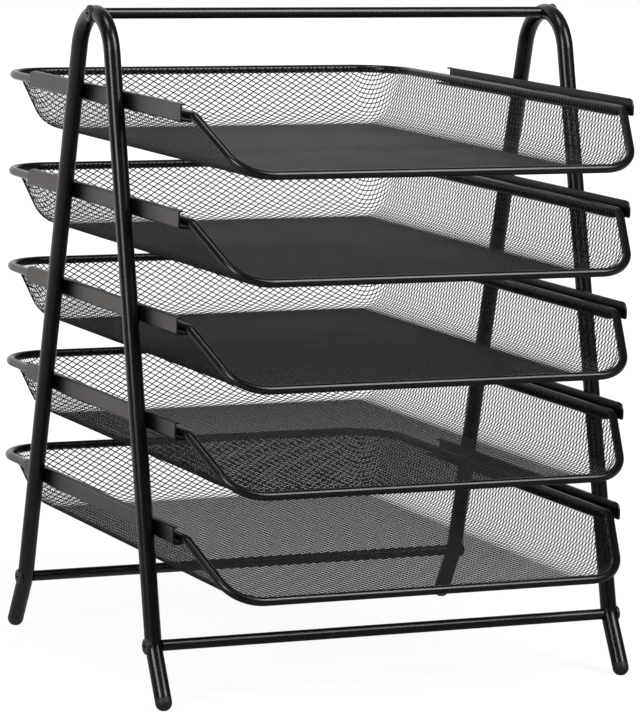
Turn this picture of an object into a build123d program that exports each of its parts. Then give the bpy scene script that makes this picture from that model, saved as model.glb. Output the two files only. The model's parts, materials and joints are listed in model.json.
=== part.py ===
# Five-tier paper tray: two bent tube side frames joined by three cross rods, ten pressed rails
# between the frames, and five trays whose rim rods slide on the rails.
# Millimetres. X is to the right, Y to the back and Z up. The origin is on the desk, under the
# middle of the object. Tier 1 is the top tray.
import os
from math import cos, radians, sin, sqrt, tan

from build123d import *

os.makedirs("parts", exist_ok=True)

# Tube side frames
tube_diameter = 9.5
tube_wall = 1.0
frame_spacing = 286.0
apex_height = 376.7
arch_radius = 26.3
leg_lean = 13.44
kink_height = 32.9
kink_radius = 25.0
foot_lean = 29.9

# Plastic foot caps
cap_head_length = 2.2
cap_stem_length = 9.0
cap_stem_gap = 0.1
foot_flat_depth = 0.45

# Cross rods and the screws that hold them
rod_diameter = 6.35
screw_diameter = 4.0
screw_hole_gap = 0.1
screw_length = 22.0
screw_hole_spare = 2.0
screw_head_diameter = 9.6
screw_head_height = 2.2
screw_head_round = 1.5
screw_seat_depth = 1.5
screw_seat_gap = 0.3
recess_span = 5.0
recess_width = 1.1
recess_depth = 1.3

# Pressed rails
tiers = 5
top_rail_drop = 51.6
lowest_rail_height = 91.9
rail_length = 237.2
flange_relief = 5.2
rail_height = 10.1
rail_sheet = 1.0
rail_bend_radius = 1.5
rail_flange_width = 10.0
rail_lip_width = 2.8
rail_corner_radius = 5.5

# Tray rim rods
rim_diameter = 5.0
rim_back = 190.5
rim_corner_radius = 31.2
rim_kink = 119.8
rim_kink_radius = 8.7
front_drop = 29.1
front_slope = 35.9

# Tray pans
pan_sheet = 0.6
pan_depth = 32.8
wall_lean = 25.4
hem_rise = 1.2
grid_columns = 12
floor_grid_rows = 6
side_grid_rows = 18
grid_bar = 7.0

# Fits
seat_gap = 0.05
slide_gap = 0.3
rim_side_gap = 3.0
overrun = 5.0

tube_radius = tube_diameter / 2
frame_x = frame_spacing / 2
rod_radius = rod_diameter / 2
rim_radius = rim_diameter / 2

# The rails lie against the tubes, and the rim rods run between the rails
rail_x = frame_x - tube_radius - seat_gap
rim_half_width = rail_x - rail_sheet - rim_side_gap - rim_radius
tier_pitch = (apex_height - top_rail_drop - lowest_rail_height) / (tiers - 1)

# Bowl surface that carries the rim rod's centre line, with the rod's level at zero: leaning walls,
# a round bottom edge, and corners that are turned about an upright axis
wall_angle = radians(wall_lean)
slope_angle = radians(front_slope)
rim_offset = rim_radius + seat_gap
bowl_depth = pan_depth + rim_offset
bowl_radius = (rim_corner_radius * cos(wall_angle) - bowl_depth * sin(wall_angle)) / (1 - sin(wall_angle))
bowl_centre_z = bowl_radius - bowl_depth
corner_x = rim_half_width - rim_corner_radius
rear_axis_y = rim_back - rim_corner_radius

# Front of the rim: a sloping plane cuts the bowl, so the rod's corners there are circles
front_y = -rim_kink - front_drop / tan(slope_angle)
front_x = rim_half_width - front_drop * tan(wall_angle)
front_axis_y = front_y + sqrt(bowl_radius**2 - (front_drop + bowl_centre_z) ** 2)
slope_to_centre = (front_axis_y + rim_kink) * sin(slope_angle) - bowl_centre_z * cos(slope_angle)
front_corner_radius = sqrt(bowl_radius**2 - slope_to_centre**2)

# The origin is under the middle of the whole object. The pieces are drawn about the frames' own
# middle, and the trays reach further back than forward from there.
middle_y = (rim_back + front_y) / 2


def save(part, name):
    """Move a finished piece to the object's own frame, label it and write it as one file."""
    placed = Pos(0, -middle_y, 0) * part
    placed.label = name
    export_step(placed, f"parts/{name}.step")


# Side view of a frame: feet, kinks and the arch, worked out from the heights and the two leans
leg_angle = radians(leg_lean)
foot_angle = radians(foot_lean)
arch_centre_height = apex_height - arch_radius
kink_y = arch_radius / cos(leg_angle) + (arch_centre_height - kink_height) * tan(leg_angle)
leg_meeting_height = arch_centre_height + arch_radius / sin(leg_angle)
ball_height = tube_radius - foot_flat_depth
ball_y = kink_y + (kink_height - ball_height) * tan(foot_angle)
tube_end_y = ball_y - cap_head_length * sin(foot_angle)
tube_end_height = ball_height + cap_head_length * cos(foot_angle)
rod_places = {
    "top_handle_rod": (0, apex_height),
    "lower_front_rod": (-kink_y, kink_height),
    "lower_rear_rod": (kink_y, kink_height),
}
sides = {"left": -1, "right": 1}
ends = {"front": -1, "rear": 1}

# Side frames: one bent tube each. At the apex and at both kinks the outer side is dented, so that
# a screw's head sits in it, and a hole goes through. The left frame mirrors the right one.
seat_offset = tube_radius - screw_seat_depth
seat_radius = screw_head_diameter / 2 + screw_seat_gap
frame_plane = Plane.YZ.offset(frame_x)
with BuildLine(frame_plane) as bent_tube:
    FilletPolyline(
        (-tube_end_y, tube_end_height),
        (-kink_y, kink_height),
        (0, leg_meeting_height),
        (kink_y, kink_height),
        (tube_end_y, tube_end_height),
        radius=(kink_radius, arch_radius, kink_radius),
    )
tube_end_plane = Plane(origin=bent_tube.line @ 0, z_dir=bent_tube.line % 0)
with BuildPart() as dents:
    with BuildSketch(tube_end_plane):
        Circle(tube_radius)
    sweep(path=bent_tube.line)
    with BuildSketch(frame_plane.offset(seat_offset - tube_wall)):
        with Locations(*rod_places.values()):
            Circle(seat_radius + tube_wall)
    extrude(amount=tube_diameter, mode=Mode.INTERSECT)
with BuildPart() as right_frame:
    with BuildSketch(tube_end_plane):
        Circle(tube_radius)
        Circle(tube_radius - tube_wall, mode=Mode.SUBTRACT)
    sweep(path=bent_tube.line)
    add(dents.part)
    with BuildSketch(frame_plane.offset(seat_offset)):
        with Locations(*rod_places.values()):
            Circle(seat_radius)
    extrude(amount=tube_diameter, mode=Mode.SUBTRACT)
    with BuildSketch(frame_plane):
        with Locations(*rod_places.values()):
            Circle(screw_diameter / 2 + screw_hole_gap)
    extrude(amount=tube_diameter, both=True, mode=Mode.SUBTRACT)
save(right_frame.part, "side_frame_right")
with BuildPart() as left_frame:
    mirror(right_frame.part, about=Plane.YZ)
save(left_frame.part, "side_frame_left")

# Foot caps: a stem inside the tube, a head flush with it and a round end with a small flat
for end, end_sign in ends.items():
    for side, sign in sides.items():
        foot_plane = Plane(
            origin=(sign * frame_x, end_sign * ball_y, ball_height),
            x_dir=(1, 0, 0),
            z_dir=(0, -end_sign * sin(foot_angle), cos(foot_angle)),
        )
        with BuildPart(foot_plane) as foot_cap:
            Sphere(tube_radius, arc_size2=0, align=(Align.CENTER, Align.CENTER, Align.MAX))
            Cylinder(tube_radius, cap_head_length - seat_gap, align=(Align.CENTER, Align.CENTER, Align.MIN))
            Cylinder(
                tube_radius - tube_wall - cap_stem_gap,
                cap_head_length + cap_stem_length,
                align=(Align.CENTER, Align.CENTER, Align.MIN),
            )
            split(bisect_by=Plane.XY, keep=Keep.TOP)
        save(foot_cap.part, f"foot_cap_{end}_{side}")

# Cross rods: plain rods between the tubes, drilled at both ends for the screws
rod_length = frame_spacing - tube_diameter - 2 * seat_gap
screw_reach = screw_length - tube_radius - seat_offset - 2 * seat_gap
for name, place in rod_places.items():
    with BuildPart() as cross_rod:
        with BuildSketch(Plane.YZ):
            with Locations(place):
                Circle(rod_radius)
        extrude(amount=rod_length / 2, both=True)
        for sign in sides.values():
            with BuildSketch(Plane.YZ.offset(sign * rod_length / 2)):
                with Locations(place):
                    Circle(screw_diameter / 2 + screw_hole_gap)
            extrude(amount=-sign * (screw_reach + screw_hole_spare), mode=Mode.SUBTRACT)
    save(cross_rod.part, name)

# Frame screws: a round head in the tube's dent and a shank through the tube into the rod
with BuildPart() as screw:
    Cylinder(screw_head_diameter / 2, screw_head_height, align=(Align.CENTER, Align.CENTER, Align.MIN))
    fillet(screw.faces().sort_by(Axis.Z)[-1].edges(), screw_head_round)
    Cylinder(screw_diameter / 2, screw_length, align=(Align.CENTER, Align.CENTER, Align.MAX))
    with BuildSketch(Plane.XY.offset(screw_head_height)):
        Rectangle(recess_span, recess_width)
        Rectangle(recess_width, recess_span)
    extrude(amount=-recess_depth, mode=Mode.SUBTRACT)
screw_seat_x = frame_x + seat_offset + seat_gap
screw_planes = [
    Plane(origin=(sign * screw_seat_x, y, z), x_dir=(0, 1, 0), z_dir=(sign, 0, 0))
    for sign in sides.values()
    for y, z in rod_places.values()
]
with BuildPart() as frame_screws:
    with Locations(*screw_planes):
        add(screw.part)
save(frame_screws.part, "frame_screws")

# Rails: one pressed channel with a foot flange, a short lip and one rounded top corner. The flange
# stops short at that end, where the rim rod bends down past it.
with BuildPart() as rail:
    with BuildSketch(Plane.XZ) as channel:
        with BuildLine():
            Polyline(
                (0, 0),
                (-rail_flange_width, 0),
                (-rail_flange_width, rail_sheet),
                (-rail_sheet, rail_sheet),
                (-rail_sheet, rail_height - rail_sheet),
                (-rail_lip_width, rail_height - rail_sheet),
                (-rail_lip_width, rail_height),
                (0, rail_height),
                close=True,
            )
        make_face()
        fillet(channel.vertices().group_by(Axis.X)[-2], rail_bend_radius - rail_sheet)
        fillet(channel.vertices().group_by(Axis.X)[-1], rail_bend_radius)
    extrude(amount=rail_length / 2, both=True)
    corner_y = rail_corner_radius - rail_length / 2
    corner_z = rail_height - rail_corner_radius
    with BuildSketch(Plane.YZ):
        with Locations((corner_y, corner_z)):
            Rectangle(
                rail_corner_radius + overrun,
                rail_corner_radius + overrun,
                align=(Align.MAX, Align.MIN),
            )
            Circle(rail_corner_radius, mode=Mode.SUBTRACT)
    extrude(amount=rail_flange_width, both=True, mode=Mode.SUBTRACT)
    with Locations((-rail_sheet, -rail_length / 2, 0)):
        Box(
            rail_flange_width,
            2 * flange_relief,
            rail_height / 2,
            align=(Align.MAX, Align.CENTER, Align.MIN),
            mode=Mode.SUBTRACT,
        )

# The flange is as long in front of the tower's middle as behind it. The left rails are the right
# ones turned half round about that upright middle.
rail_middle_y = -flange_relief / 2
rail_heights = [lowest_rail_height + tier_pitch * step for step in reversed(range(tiers))]
rail_turns = {"left": 180, "right": 0}
for tier, height in enumerate(rail_heights, start=1):
    for side in sides:
        with BuildPart() as placed_rail:
            with Locations(Location((0, 0, height), (0, 0, rail_turns[side]))):
                with Locations((rail_x, rail_middle_y, 0)):
                    add(rail.part)
        save(placed_rail.part, f"rail_{side}_{tier}")

# Rim rod: level round the back and sides, bent down and in round the open front
with BuildPart() as rim:
    with BuildLine() as rim_path:
        FilletPolyline(
            (0, rim_back, 0),
            (-rim_half_width, rim_back, 0),
            (-rim_half_width, -rim_kink, 0),
            (-front_x, front_y, -front_drop),
            (front_x, front_y, -front_drop),
            (rim_half_width, -rim_kink, 0),
            (rim_half_width, rim_back, 0),
            (0, rim_back, 0),
            radius=(
                0,
                rim_corner_radius,
                rim_kink_radius,
                front_corner_radius,
                front_corner_radius,
                rim_kink_radius,
                rim_corner_radius,
            ),
        )
    with BuildSketch(Plane(origin=(0, rim_back, 0), z_dir=(-1, 0, 0))):
        Circle(rim_radius)
    sweep(path=rim_path.line)

# Pan: thin pierced sheet inside the rim rod, open at the sloping front
pan_outer_radius = bowl_radius - rim_offset
pan_inner_radius = pan_outer_radius - pan_sheet


def wall_point(radius, height):
    """Point of the leaning wall that is tangent to a bottom edge of this radius, at a height."""
    tangent_z = bowl_centre_z - radius * sin(wall_angle)
    return (radius * cos(wall_angle) + (height - tangent_z) * tan(wall_angle), height)


def wall_foot(radius):
    """Point where the wall runs into the round bottom edge of this radius."""
    return wall_point(radius, bowl_centre_z - radius * sin(wall_angle))


# Section of the sheet from the hem to the floor, drawn outwards from a corner's axis
with BuildSketch() as wall_section:
    with BuildLine():
        CenterArc((0, bowl_centre_z), pan_outer_radius, -90, 90 - wall_lean)
        Polyline(
            wall_foot(pan_outer_radius),
            wall_point(pan_outer_radius, hem_rise),
            wall_point(pan_inner_radius, hem_rise),
            wall_foot(pan_inner_radius),
        )
        CenterArc((0, bowl_centre_z), pan_inner_radius, -90, 90 - wall_lean)
        Line((0, bowl_centre_z - pan_inner_radius), (0, bowl_centre_z - pan_outer_radius))
    make_face()

floor_z = bowl_centre_z - pan_outer_radius
side_run = rear_axis_y - front_axis_y
column_pitch = 2 * corner_x / grid_columns
floor_pitch = side_run / floor_grid_rows
side_pitch = side_run / side_grid_rows
side_starts = [front_axis_y + side_pitch * row for row in range(side_grid_rows)]
side_openings = [(start + side_pitch / 2, -pan_depth / 2) for start in side_starts if start > -rim_kink]
with BuildPart() as pan:
    with Locations((0, front_axis_y, floor_z)):
        Box(2 * corner_x, side_run, pan_sheet, align=(Align.CENTER, Align.MIN, Align.MIN))
    for axis_y, end_sign in ((rear_axis_y, 1), (front_axis_y, -1)):
        with BuildSketch(Plane((corner_x, axis_y, 0), x_dir=(0, end_sign, 0), z_dir=(end_sign, 0, 0))):
            add(wall_section.sketch)
        extrude(amount=-end_sign * 2 * corner_x)
        for sign in sides.values():
            with BuildSketch(Plane((sign * corner_x, axis_y, 0), x_dir=(sign, 0, 0), z_dir=(0, -sign, 0))):
                add(wall_section.sketch)
            revolve(axis=Axis((sign * corner_x, axis_y, 0), (0, 0, sign * end_sign)), revolution_arc=90)
    for sign in sides.values():
        with BuildSketch(Plane((sign * corner_x, front_axis_y, 0), x_dir=(sign, 0, 0), z_dir=(0, -sign, 0))):
            add(wall_section.sketch)
        extrude(amount=-sign * side_run)
    slope_plane = Plane(
        origin=(0, -rim_kink, 0), x_dir=(1, 0, 0), z_dir=(0, -sin(slope_angle), cos(slope_angle))
    )
    split(bisect_by=slope_plane.offset(hem_rise), keep=Keep.BOTTOM)
    # A plain grid of slots in the floor, one row of upright ones in the rear wall and one in each
    # side wall behind the kink, with the same bars between them all
    with BuildSketch(Plane.XY.offset(floor_z)):
        with Locations((0, (front_axis_y + rear_axis_y) / 2)):
            with GridLocations(column_pitch, floor_pitch, grid_columns, floor_grid_rows):
                Rectangle(column_pitch - grid_bar, floor_pitch - grid_bar)
    extrude(amount=2 * pan_sheet, both=True, mode=Mode.SUBTRACT)
    with BuildSketch(Plane.YZ):
        with Locations(*side_openings):
            Rectangle(side_pitch - grid_bar, pan_depth - 2 * grid_bar)
    extrude(amount=rim_half_width, both=True, mode=Mode.SUBTRACT)
    with BuildSketch(Plane.XZ):
        with Locations((0, -pan_depth / 2)):
            with GridLocations(column_pitch, pan_depth, grid_columns, 1):
                Rectangle(column_pitch - grid_bar, pan_depth - 2 * grid_bar)
    extrude(amount=-rim_back, mode=Mode.SUBTRACT)

# The five trays hang in their rails: each rim rod lies on the rails' foot flanges
rim_lift = rail_sheet + slide_gap + rim_radius
for tier, height in enumerate(rail_heights, start=1):
    with BuildPart() as placed_rim:
        with Locations((0, 0, height + rim_lift)):
            add(rim.part)
    save(placed_rim.part, f"tray_rim_{tier}")
    with BuildPart() as placed_pan:
        with Locations((0, 0, height + rim_lift)):
            add(pan.part)
    save(placed_pan.part, f"tray_pan_{tier}")
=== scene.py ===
# %% [markdown]
# # A five-tier paper tray
# Two bent steel tubes and three rods make a tower. Pressed rails between the tubes carry five
# trays, and each tray is a sheet of expanded mesh pressed into a rod rim. The solid model comes
# in as a fixed frame, so this lesson only makes what that model leaves plain: the mesh and every
# finish.

# %% Load the frame
import json
import math

import bmesh
import bpy
from mathutils import Matrix, Vector


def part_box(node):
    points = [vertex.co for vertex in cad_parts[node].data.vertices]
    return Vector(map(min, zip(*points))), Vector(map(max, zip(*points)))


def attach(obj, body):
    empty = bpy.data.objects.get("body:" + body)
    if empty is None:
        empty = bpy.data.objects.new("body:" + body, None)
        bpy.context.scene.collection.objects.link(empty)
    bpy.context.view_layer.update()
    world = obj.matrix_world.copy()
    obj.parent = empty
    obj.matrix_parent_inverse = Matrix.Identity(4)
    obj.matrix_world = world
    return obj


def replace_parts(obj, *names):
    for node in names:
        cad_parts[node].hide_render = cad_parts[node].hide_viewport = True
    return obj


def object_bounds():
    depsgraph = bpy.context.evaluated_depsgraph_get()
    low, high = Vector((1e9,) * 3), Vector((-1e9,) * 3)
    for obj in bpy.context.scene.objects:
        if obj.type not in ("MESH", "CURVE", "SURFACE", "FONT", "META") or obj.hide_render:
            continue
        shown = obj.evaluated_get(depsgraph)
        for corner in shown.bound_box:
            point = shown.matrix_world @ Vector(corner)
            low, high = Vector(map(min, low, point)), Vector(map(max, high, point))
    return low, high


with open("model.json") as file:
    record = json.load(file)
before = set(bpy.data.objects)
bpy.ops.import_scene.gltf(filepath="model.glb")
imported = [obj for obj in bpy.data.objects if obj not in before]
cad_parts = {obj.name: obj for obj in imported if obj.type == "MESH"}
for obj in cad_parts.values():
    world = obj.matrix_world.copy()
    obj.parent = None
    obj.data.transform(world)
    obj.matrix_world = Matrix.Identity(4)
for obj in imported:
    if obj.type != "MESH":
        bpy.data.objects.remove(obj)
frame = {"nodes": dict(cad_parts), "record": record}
cad_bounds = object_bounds()
scene = bpy.context.scene

# %% [markdown]
# ## Sizes of a tray
# All five trays are one shape at five heights. Its main places are read from the frame's own
# boxes, so the mesh follows the solids if they change. Only what a box can't tell is typed here:
# the rod's thickness, the corner, and the two leans.

# %% Measure the top tray
TIERS = 5
RIM_DIAMETER = 0.005
RIM_CORNER_RADIUS = 0.0312
SEAT_GAP = 0.00005
WALL_LEAN = math.radians(25.4)
FRONT_SLOPE = math.radians(35.9)

rim_radius = RIM_DIAMETER / 2
rim_low, rim_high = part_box("tray_rim_1")
pan_low, pan_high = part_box("tray_pan_1")
rim_level = rim_high.z - rim_radius
rim_half_width = rim_high.x - rim_radius
rim_back = rim_high.y - rim_radius
front_run_y = rim_low.y + rim_radius
front_drop = rim_level - rim_low.z - rim_radius
kink_y = front_run_y + front_drop / math.tan(FRONT_SLOPE)
edge_rise = pan_high.z - rim_level
tier_levels = [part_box(f"tray_rim_{tier}")[1].z - rim_radius for tier in range(1, TIERS + 1)]
print("rim levels in mm:", [round(level * 1000, 1) for level in tier_levels])

# %% [markdown]
# ## The bowl that the sheet is pressed into
# A press turns a flat blank into a bowl: a flat floor, a round bottom edge and leaning walls. The
# rod lies on the outside of that bowl, so the bowl's radius follows from the rod's corner, the
# lean and the depth. The inner corners of the floor are the centres that the corners turn about.

# %% Work out the bowl
rod_offset = rim_radius + SEAT_GAP
bowl_depth = rim_level - pan_low.z + rod_offset
lean_sine = math.sin(WALL_LEAN)
lean_cosine = math.cos(WALL_LEAN)
bowl_radius = (RIM_CORNER_RADIUS * lean_cosine - bowl_depth * lean_sine) / (1 - lean_sine)
bowl_centre_z = rim_level - bowl_depth + bowl_radius
floor_half_width = rim_half_width - RIM_CORNER_RADIUS
floor_back = rim_back - RIM_CORNER_RADIUS
front_centre_rise = front_drop - rim_level + bowl_centre_z
floor_front = front_run_y + math.sqrt(bowl_radius**2 - front_centre_rise**2)
wall_turn = math.pi / 2 - WALL_LEAN
print("bowl radius in mm:", round(bowl_radius * 1000, 2))
print("floor from y", round(floor_front, 4), "to", round(floor_back, 4))

# %% [markdown]
# ## Forming a flat blank
# Any flat sheet can be laid out first and pressed afterwards, as in the factory. The point of the
# floor nearest to a flat point is its foot. The distance from that foot is spent first on the
# round bottom edge and then on the straight wall. A flat point's own height becomes its height
# off the sheet, so relief on the blank survives the pressing.


# %% The press
def foot_of(x, y):
    """The point of the flat floor that lies nearest to a flat point."""
    foot_x = min(max(x, -floor_half_width), floor_half_width)
    foot_y = min(max(y, floor_front), floor_back)
    return Vector((foot_x, foot_y))


def press(blank, radius):
    """Bend a flat bmesh into the tray's bowl, with its zero height on a surface of this radius."""
    for vert in blank.verts:
        flat_x, flat_y, relief = vert.co
        foot = foot_of(flat_x, flat_y)
        away = Vector((flat_x, flat_y)) - foot
        turn = min(away.length / radius, wall_turn)
        climb = max(away.length - radius * wall_turn, 0)
        out = radius * math.sin(turn) + climb * math.cos(turn) - relief * math.sin(turn)
        up = radius * (1 - math.cos(turn)) + climb * math.sin(turn) + relief * math.cos(turn)
        pressed = foot + away.normalized() * out
        vert.co = (pressed.x, pressed.y, bowl_centre_z - radius + up)


def cut(sheet, point, normal):
    """Cut a bmesh with a plane and throw away the side that the normal points to."""
    everything = sheet.verts[:] + sheet.edges[:] + sheet.faces[:]
    bmesh.ops.bisect_plane(
        sheet, geom=everything, dist=1e-7, plane_co=point, plane_no=normal, clear_outer=True
    )


UP = Vector((0, 0, 1))
slope_normal = Vector((0, -math.sin(FRONT_SLOPE), math.cos(FRONT_SLOPE)))
kink_point = Vector((0, kink_y, rim_level))
edge_point = Vector((0, 0, rim_level)) + UP * edge_rise
slope_edge_point = kink_point + slope_normal * edge_rise
print("the sheet ends", round(edge_rise * 1000, 2), "mm above the rod's middle")

# %% [markdown]
# ## Expanded mesh
# Expanded metal starts as a sheet with rows of short slits, which is then pulled until the slits
# open into diamonds. A grid turned by 45 degrees and squashed has the same diamonds. Each one is
# inset to leave strands, and its middle is deleted. The knuckles, where two strands meet, stay
# wider than the strands. Pulling also twists every strand the same way, so one edge of each
# opening is lifted and the other lowered. Last, the grid's own lines are raised into ridges and a
# copy with lowered lines is joined on below, so each strand is a solid bar with four sides.

# %% Lay out the flat mesh
DIAMOND_WIDTH = 0.0060
DIAMOND_LENGTH = 0.0037
STRAND_WIDTH = 0.00073
STRAND_THICKNESS = 0.00030
STRAND_TWIST = 0.00025
KNUCKLE_SHARE = 0.89

sheet_radius = bowl_radius - rod_offset - STRAND_TWIST
wall_rise = edge_rise + rim_level - bowl_centre_z + sheet_radius * lean_sine
blank_reach = sheet_radius * wall_turn + wall_rise / lean_cosine
blank_middle_y = (floor_front + floor_back) / 2
blank_half_width = floor_half_width + blank_reach
blank_half_length = (floor_back - floor_front) / 2 + blank_reach
half_count = math.ceil(blank_half_width / DIAMOND_WIDTH + blank_half_length / DIAMOND_LENGTH)
diamonds_across = 2 * half_count


def reach_of(point):
    """Distance of a flat point from the floor, which is how far up the wall it ends."""
    return (point.xy - foot_of(point.x, point.y)).length


def flat_mesh():
    """Solid diamond strands on the flat blank."""
    blank = bmesh.new()
    bmesh.ops.create_grid(blank, x_segments=diamonds_across, y_segments=diamonds_across, size=0.5)
    bmesh.ops.rotate(blank, verts=blank.verts, matrix=Matrix.Rotation(math.pi / 4, 3, "Z"))
    stretch = diamonds_across / math.sqrt(2)
    bmesh.ops.scale(
        blank, verts=blank.verts, vec=(DIAMOND_WIDTH * stretch, DIAMOND_LENGTH * stretch, 1)
    )
    bmesh.ops.translate(blank, verts=blank.verts, vec=(0, blank_middle_y, 0))
    spare = blank_reach + DIAMOND_WIDTH
    outside = [face for face in blank.faces if reach_of(face.calc_center_median()) > spare]
    bmesh.ops.delete(blank, geom=outside, context="FACES")
    openings = blank.faces[:]
    bmesh.ops.inset_individual(blank, faces=openings, thickness=STRAND_WIDTH / 2)
    for opening in openings:
        middle = opening.calc_center_median()
        for vert in opening.verts:
            offset = vert.co - middle
            vert.co.x = middle.x + offset.x * KNUCKLE_SHARE
            vert.co.z = -STRAND_TWIST * offset.y / (DIAMOND_LENGTH / 2)
    bmesh.ops.delete(blank, geom=openings, context="FACES")
    ridges = [vert for vert in blank.verts if not vert.is_boundary]
    below = bmesh.ops.duplicate(blank, geom=blank.verts[:] + blank.edges[:] + blank.faces[:])
    for vert in ridges:
        vert.co.z += STRAND_THICKNESS / 2
        below["vert_map"][vert].co.z -= STRAND_THICKNESS / 2
    under_faces = [part for part in below["geom"] if isinstance(part, bmesh.types.BMFace)]
    bmesh.ops.reverse_faces(blank, faces=under_faces)
    bmesh.ops.remove_doubles(blank, verts=blank.verts, dist=1e-7)
    return blank


tray_mesh = flat_mesh()
print("strand faces on the blank:", len(tray_mesh.faces))

# %% [markdown]
# ## Pressing and trimming the mesh
# The flat strands are pressed, trimmed level along the back and sides, and trimmed by the sloping
# plane at the open front. A trimmed strand is hollow at its end, so the small open loops there
# are filled. On the real tray these raw ends lie against the rim rod, where they are welded.

# %% Press the mesh
press(tray_mesh, sheet_radius)
cut(tray_mesh, edge_point, UP)
cut(tray_mesh, slope_edge_point, slope_normal)
open_ends = [edge for edge in tray_mesh.edges if edge.is_boundary]
bmesh.ops.holes_fill(tray_mesh, edges=open_ends, sides=0)
still_open = sum(not edge.is_manifold for edge in tray_mesh.edges)
triangles = sum(len(face.verts) - 2 for face in tray_mesh.faces)
print("triangles:", triangles, "open edges left:", still_open)

# %% [markdown]
# ## Shader sums as Python
# A finish is easier to read as sums than as a web of nodes. One small class holds a socket and
# turns operators into Math nodes. A second one holds a material and adds any other node by its
# type. Some sockets of a node share one name, so those are given by their number.


# %% Sockets and finishes
class Wire:
    """One output socket. Sums with it add Math nodes to its tree."""

    def __init__(self, tree, socket):
        self.tree = tree
        self.socket = socket

    def sum_node(self, operation, first, second):
        node = self.tree.nodes.new("ShaderNodeMath")
        node.operation = operation
        for slot, value in zip(node.inputs, (first, second)):
            feed(self.tree, slot, value)
        return Wire(self.tree, node.outputs[0])

    def __add__(self, other):
        return self.sum_node("ADD", self, other)

    def __sub__(self, other):
        return self.sum_node("SUBTRACT", self, other)

    def __rsub__(self, other):
        return self.sum_node("SUBTRACT", other, self)

    def __mul__(self, other):
        return self.sum_node("MULTIPLY", self, other)

    __radd__ = __add__
    __rmul__ = __mul__


def feed(tree, slot, value):
    """Link a wire to a socket, or set a plain value on it."""
    if isinstance(value, Wire):
        tree.links.new(value.socket, slot)
    else:
        slot.default_value = value


class Finish:
    """One material, or the world, whose nodes are added by their type."""

    def __init__(self, owner):
        self.owner = owner
        owner.use_nodes = True
        self.tree = owner.node_tree
        self.tree.nodes.clear()

    def node(self, kind, settings=None, numbered=None, **named):
        """Add a node, set it up, then give its sockets values or links."""
        node = self.tree.nodes.new(kind)
        for key, value in (settings or {}).items():
            setattr(node, key, value)
        for key, value in named.items():
            feed(self.tree, node.inputs[key.replace("_", " ")], value)
        for index, value in (numbered or {}).items():
            feed(self.tree, node.inputs[index], value)
        return node

    def wire(self, node, output):
        return Wire(self.tree, node.outputs[output])

    def blend(self, factor, first, second):
        """Mix two colours."""
        colours = {6: first, 7: second}
        mix = self.node("ShaderNodeMix", {"data_type": "RGBA"}, colours, Factor=factor)
        return self.wire(mix, 2)

    def ramp(self, value, span, levels):
        """Go from one level to another while a value crosses a span, and stay flat outside it."""
        low, high = span
        start, end = levels
        ramp = self.node(
            "ShaderNodeMapRange", Value=value, From_Min=low, From_Max=high, To_Min=start, To_Max=end
        )
        return self.wire(ramp, "Result")


def new_finish(name):
    return Finish(bpy.data.materials.new(name))


print("shader helpers are ready")

# %% [markdown]
# ## Powder coat
# The steel is sprayed with black powder and baked. The coat is satin, with a fine orange-peel
# skin that breaks up the highlights. Two noises make it: a fine one for the skin's bumps and a
# broad one that lets the gloss drift. One function makes all the coated finishes, and each slot
# only changes how grey and how glossy it is. The mesh looks a little duller than the rods, so its
# coat reflects less.

# %% Coated steel and moulded plastic
GLOSS_DRIFT_SCALE = 38.0
SKIN_STRENGTH = 0.35
SKIN_DARK, SKIN_LIGHT = 0.8, 1.2


def coated_finish(name, colour, gloss_low, gloss_high, skin_scale, skin_depth, ior=1.5):
    """A baked or moulded skin: fine bumps, with roughness that drifts between two values."""
    finish = new_finish(name)
    place = finish.wire(finish.node("ShaderNodeTexCoord"), "Object")
    skin_noise = finish.node(
        "ShaderNodeTexNoise", Vector=place, Scale=skin_scale, Detail=3.0, Roughness=0.55
    )
    drift_noise = finish.node(
        "ShaderNodeTexNoise", Vector=place, Scale=GLOSS_DRIFT_SCALE, Detail=2.0
    )
    skin = finish.wire(skin_noise, "Fac")
    drift = finish.wire(drift_noise, "Fac")
    bump = finish.node("ShaderNodeBump", Strength=SKIN_STRENGTH, Distance=skin_depth, Height=skin)
    dark, light = ([part * share for part in colour] + [1] for share in (SKIN_DARK, SKIN_LIGHT))
    surface = finish.node(
        "ShaderNodeBsdfPrincipled",
        Base_Color=finish.blend(skin, dark, light),
        Roughness=gloss_low + (gloss_high - gloss_low) * drift,
        Normal=finish.wire(bump, "Normal"),
        IOR=ior,
    )
    finish.node("ShaderNodeOutputMaterial", Surface=finish.wire(surface, "BSDF"))
    return finish.owner


COAT = (0.0035, 0.0034, 0.0034)
OXIDE = (0.020, 0.018, 0.017)
PLASTIC = (0.014, 0.014, 0.0145)
finishes = {
    "frame_coat": coated_finish("frame_coat", COAT, 0.22, 0.30, 1500.0, 0.00006),
    "rail_coat": coated_finish("rail_coat", COAT, 0.30, 0.40, 1500.0, 0.00006),
    "rim_coat": coated_finish("rim_coat", COAT, 0.22, 0.30, 1500.0, 0.00006),
    "mesh_coat": coated_finish("mesh_coat", COAT, 0.28, 0.38, 1500.0, 0.00004, ior=1.38),
    "screw_coat": coated_finish("screw_coat", OXIDE, 0.28, 0.40, 2500.0, 0.00003),
    "cap_plastic": coated_finish("cap_plastic", PLASTIC, 0.45, 0.58, 2200.0, 0.00005),
}
print("finishes:", ", ".join(finishes))

# %% [markdown]
# ## Dress the frame and hang the trays
# The tubes, rods, caps, screws, rails and rims are exact solids already, so they only take their
# finish. The mesh goes to all five levels, and stands for the plain pans of the frame.

# %% Place the pieces
slot_of_node = {part["node"]: part["material_slot"] for part in frame["record"]["subparts"]}
for node_name, node in frame["nodes"].items():
    node.data.materials.clear()
    node.data.materials.append(finishes[slot_of_node[node_name]])


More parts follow.
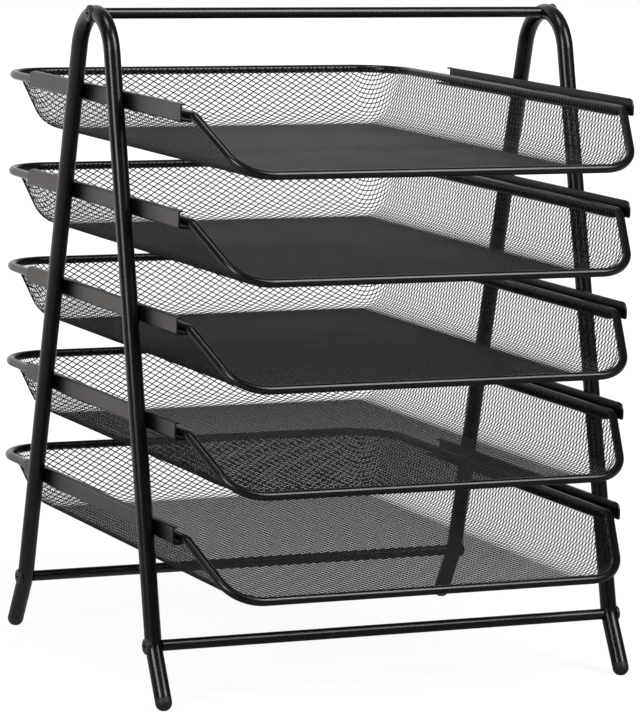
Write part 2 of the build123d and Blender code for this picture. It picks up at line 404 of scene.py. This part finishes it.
def hang_mesh(tier):
    """Copy the top tray's mesh to a tier and let it ride on that tray."""
    data = bpy.data.meshes.new(f"tray_mesh_{tier}")
    tray_mesh.to_mesh(data)
    data.transform(Matrix.Translation((0, 0, tier_levels[tier - 1] - rim_level)))
    data.materials.append(finishes["mesh_coat"])
    piece = bpy.data.objects.new(f"tray_mesh_{tier}", data)
    scene.collection.objects.link(piece)
    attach(piece, f"tray_{tier}")
    return piece


for tier in range(1, TIERS + 1):
    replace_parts(hang_mesh(tier), f"tray_pan_{tier}")
print("trays hung:", TIERS, "nodes dressed:", len(slot_of_node))

# %% [markdown]
# ## Floor
# The tower stands on a sheet of white paper. The camera and the coat's reflections see the paper
# glow, so it stays white without more light on the tower. Near the tower the glow gives way a
# little to plain paper, which keeps a faint shadow. The glow that reflections see is painted light:
# warmer, with painted shade close by and brighter towards the back, as in a studio lit from behind.

# %% Lay the floor
FLOOR_SIZE = 12.0
WHITE = (1, 1, 1, 1)
# warm tint of the glow that reflections see, a painted reflection colour
WARM_REFLECTED_GLOW = (1.0, 0.94, 0.89, 1)
PAPER = (0.9, 0.9, 0.9, 1)
CAMERA_GLOW = 1.14
GLOSSY_SHARE = 0.85


def floor_finish():
    """Pale paper that takes a faint shadow near the tower and glows white further off."""
    finish = new_finish("floor_paper")
    path = finish.node("ShaderNodeLightPath")
    camera_ray = finish.wire(path, "Is Camera Ray")
    glossy_ray = finish.wire(path, "Is Glossy Ray")
    place = finish.wire(finish.node("ShaderNodeTexCoord"), "Object")
    length = finish.node("ShaderNodeVectorMath", {"operation": "LENGTH"}, Vector=place)
    distance = finish.wire(length, "Value")
    heading = finish.node("ShaderNodeVectorMath", {"operation": "NORMALIZE"}, Vector=place)
    parts = finish.node("ShaderNodeSeparateXYZ", Vector=finish.wire(heading, "Vector"))
    # painted light: the glow that reflections see grows brighter towards the back
    back_painted_light = finish.ramp(finish.wire(parts, "Y"), span=(-0.9, 0.7), levels=(0.25, 1.15))
    # painted shade: the glow that reflections see is darker near the tower
    near_painted_shade = finish.ramp(distance, span=(0.3, 1.2), levels=(0.4, 1.0))
    seen_share = finish.ramp(distance, span=(0.3, 1.1), levels=(0.8, 1.0))
    level = camera_ray * CAMERA_GLOW + glossy_ray * back_painted_light * near_painted_shade
    # painted reflection: the glow that reflections see is tinted warm
    tint = finish.blend(glossy_ray, WHITE, WARM_REFLECTED_GLOW)
    light = finish.node("ShaderNodeVectorMath", {"operation": "SCALE"}, Vector=tint, Scale=level)
    glow = finish.wire(finish.node("ShaderNodeEmission", Color=finish.wire(light, "Vector")), 0)
    paper = finish.wire(finish.node("ShaderNodeBsdfDiffuse", Color=PAPER), 0)
    glow_share = camera_ray * seen_share + glossy_ray * GLOSSY_SHARE
    floor_mix = finish.node("ShaderNodeMixShader", numbered={1: paper, 2: glow}, Fac=glow_share)
    finish.node("ShaderNodeOutputMaterial", Surface=finish.wire(floor_mix, "Shader"))
    return finish.owner


floor_bm = bmesh.new()
bmesh.ops.create_grid(floor_bm, x_segments=1, y_segments=1, size=FLOOR_SIZE / 2)
floor_data = bpy.data.meshes.new("floor")
floor_bm.to_mesh(floor_data)
floor_data.materials.append(floor_finish())
floor = bpy.data.objects.new("floor", floor_data)
scene.collection.objects.link(floor)
print("floor:", FLOOR_SIZE, "m wide")

# %% [markdown]
# ## World and lamps
# The world is white for the camera. For all other rays it runs from a dim room in front to white
# behind the tower, so black tubes get bright edges and stay black between them. Three soft boxes
# draw the long highlights: one on the rods and rims, one on the legs and one on the top edges.

# %% Light the studio
ROOM_LEVEL = 0.06
ROOM = (ROOM_LEVEL, ROOM_LEVEL, ROOM_LEVEL, 1)

world = Finish(bpy.data.worlds.new("studio"))
seen = world.wire(world.node("ShaderNodeLightPath"), "Is Camera Ray")
view = world.wire(world.node("ShaderNodeTexCoord"), "Generated")
view_y = world.wire(world.node("ShaderNodeSeparateXYZ", Vector=view), "Y")
behind = world.ramp(view_y, span=(0.45, 0.9), levels=(0.0, 1.0))
sky = world.node("ShaderNodeBackground", Color=world.blend(seen + (1 - seen) * behind, ROOM, WHITE))
world.node("ShaderNodeOutputWorld", Surface=world.wire(sky, "Background"))
scene.world = world.owner
scene.view_settings.view_transform = "Standard"

middle = (cad_bounds[0] + cad_bounds[1]) / 2
LAMP_DISTANCE = 2.0


def soft_box(name, azimuth, elevation, width, height, power):
    """An area lamp that looks at the middle of the object, placed by its angles from the front."""
    turn, rise = math.radians(azimuth), math.radians(elevation)
    level_reach = math.cos(rise)
    away = Vector((math.sin(turn) * level_reach, -math.cos(turn) * level_reach, math.sin(rise)))
    data = bpy.data.lights.new(name, "AREA")
    data.shape = "RECTANGLE"
    data.size = width
    data.size_y = height
    data.energy = power
    lamp = bpy.data.objects.new(name, data)
    lamp.location = middle + away * LAMP_DISTANCE
    lamp.rotation_mode = "QUATERNION"
    lamp.rotation_quaternion = (-away).to_track_quat("-Z", "Y")
    scene.collection.objects.link(lamp)


soft_box("key_box", azimuth=31, elevation=42, width=0.6, height=1.2, power=23.0)
soft_box("left_box", azimuth=-61, elevation=25, width=0.5, height=0.9, power=14.0)
soft_box("top_box", azimuth=-76, elevation=78, width=0.6, height=0.6, power=7.7)
print("lamps:", len(bpy.data.lights))

# %% [markdown]
# ## Camera
# The camera's place was worked out from the straight edges in the photograph: far away, to the
# left of the front, a little above the tower, and turned by about one degree.

# %% Set the camera
CAMERA_AZIMUTH = math.radians(-24.349)
CAMERA_ELEVATION = math.radians(8.286)
CAMERA_ROLL = math.radians(1.349)
CAMERA_DISTANCE = 2.3996
CAMERA_AIM_HEIGHT = 0.1715
FOCAL_PIXELS = 4089.6
IMAGE_HEIGHT = 715
CENTRE_SHIFT_PIXELS = (1.45, 5.32)

back = Vector(
    (
        math.sin(CAMERA_AZIMUTH) * math.cos(CAMERA_ELEVATION),
        -math.cos(CAMERA_AZIMUTH) * math.cos(CAMERA_ELEVATION),
        math.sin(CAMERA_ELEVATION),
    )
)
level_right = Vector((math.cos(CAMERA_AZIMUTH), math.sin(CAMERA_AZIMUTH), 0))
level_up = back.cross(level_right)
camera_right = level_right * math.cos(CAMERA_ROLL) + level_up * math.sin(CAMERA_ROLL)
camera_up = back.cross(camera_right)
frame_middle_y = sum(corner.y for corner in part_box("side_frame_left")) / 2
aim = Vector((0, frame_middle_y, CAMERA_AIM_HEIGHT))
camera_data = bpy.data.cameras.new("camera")
camera_data.lens = FOCAL_PIXELS / IMAGE_HEIGHT * camera_data.sensor_width
camera_data.shift_x = CENTRE_SHIFT_PIXELS[0] / IMAGE_HEIGHT
camera_data.shift_y = CENTRE_SHIFT_PIXELS[1] / IMAGE_HEIGHT
camera_data.clip_end = 100
camera = bpy.data.objects.new("camera", camera_data)
scene.collection.objects.link(camera)
turn = Matrix((camera_right, camera_up, back)).transposed().to_4x4()
camera.matrix_world = Matrix.Translation(aim + back * CAMERA_DISTANCE) @ turn
scene.camera = camera
print("camera at", [round(value, 3) for value in camera.location])
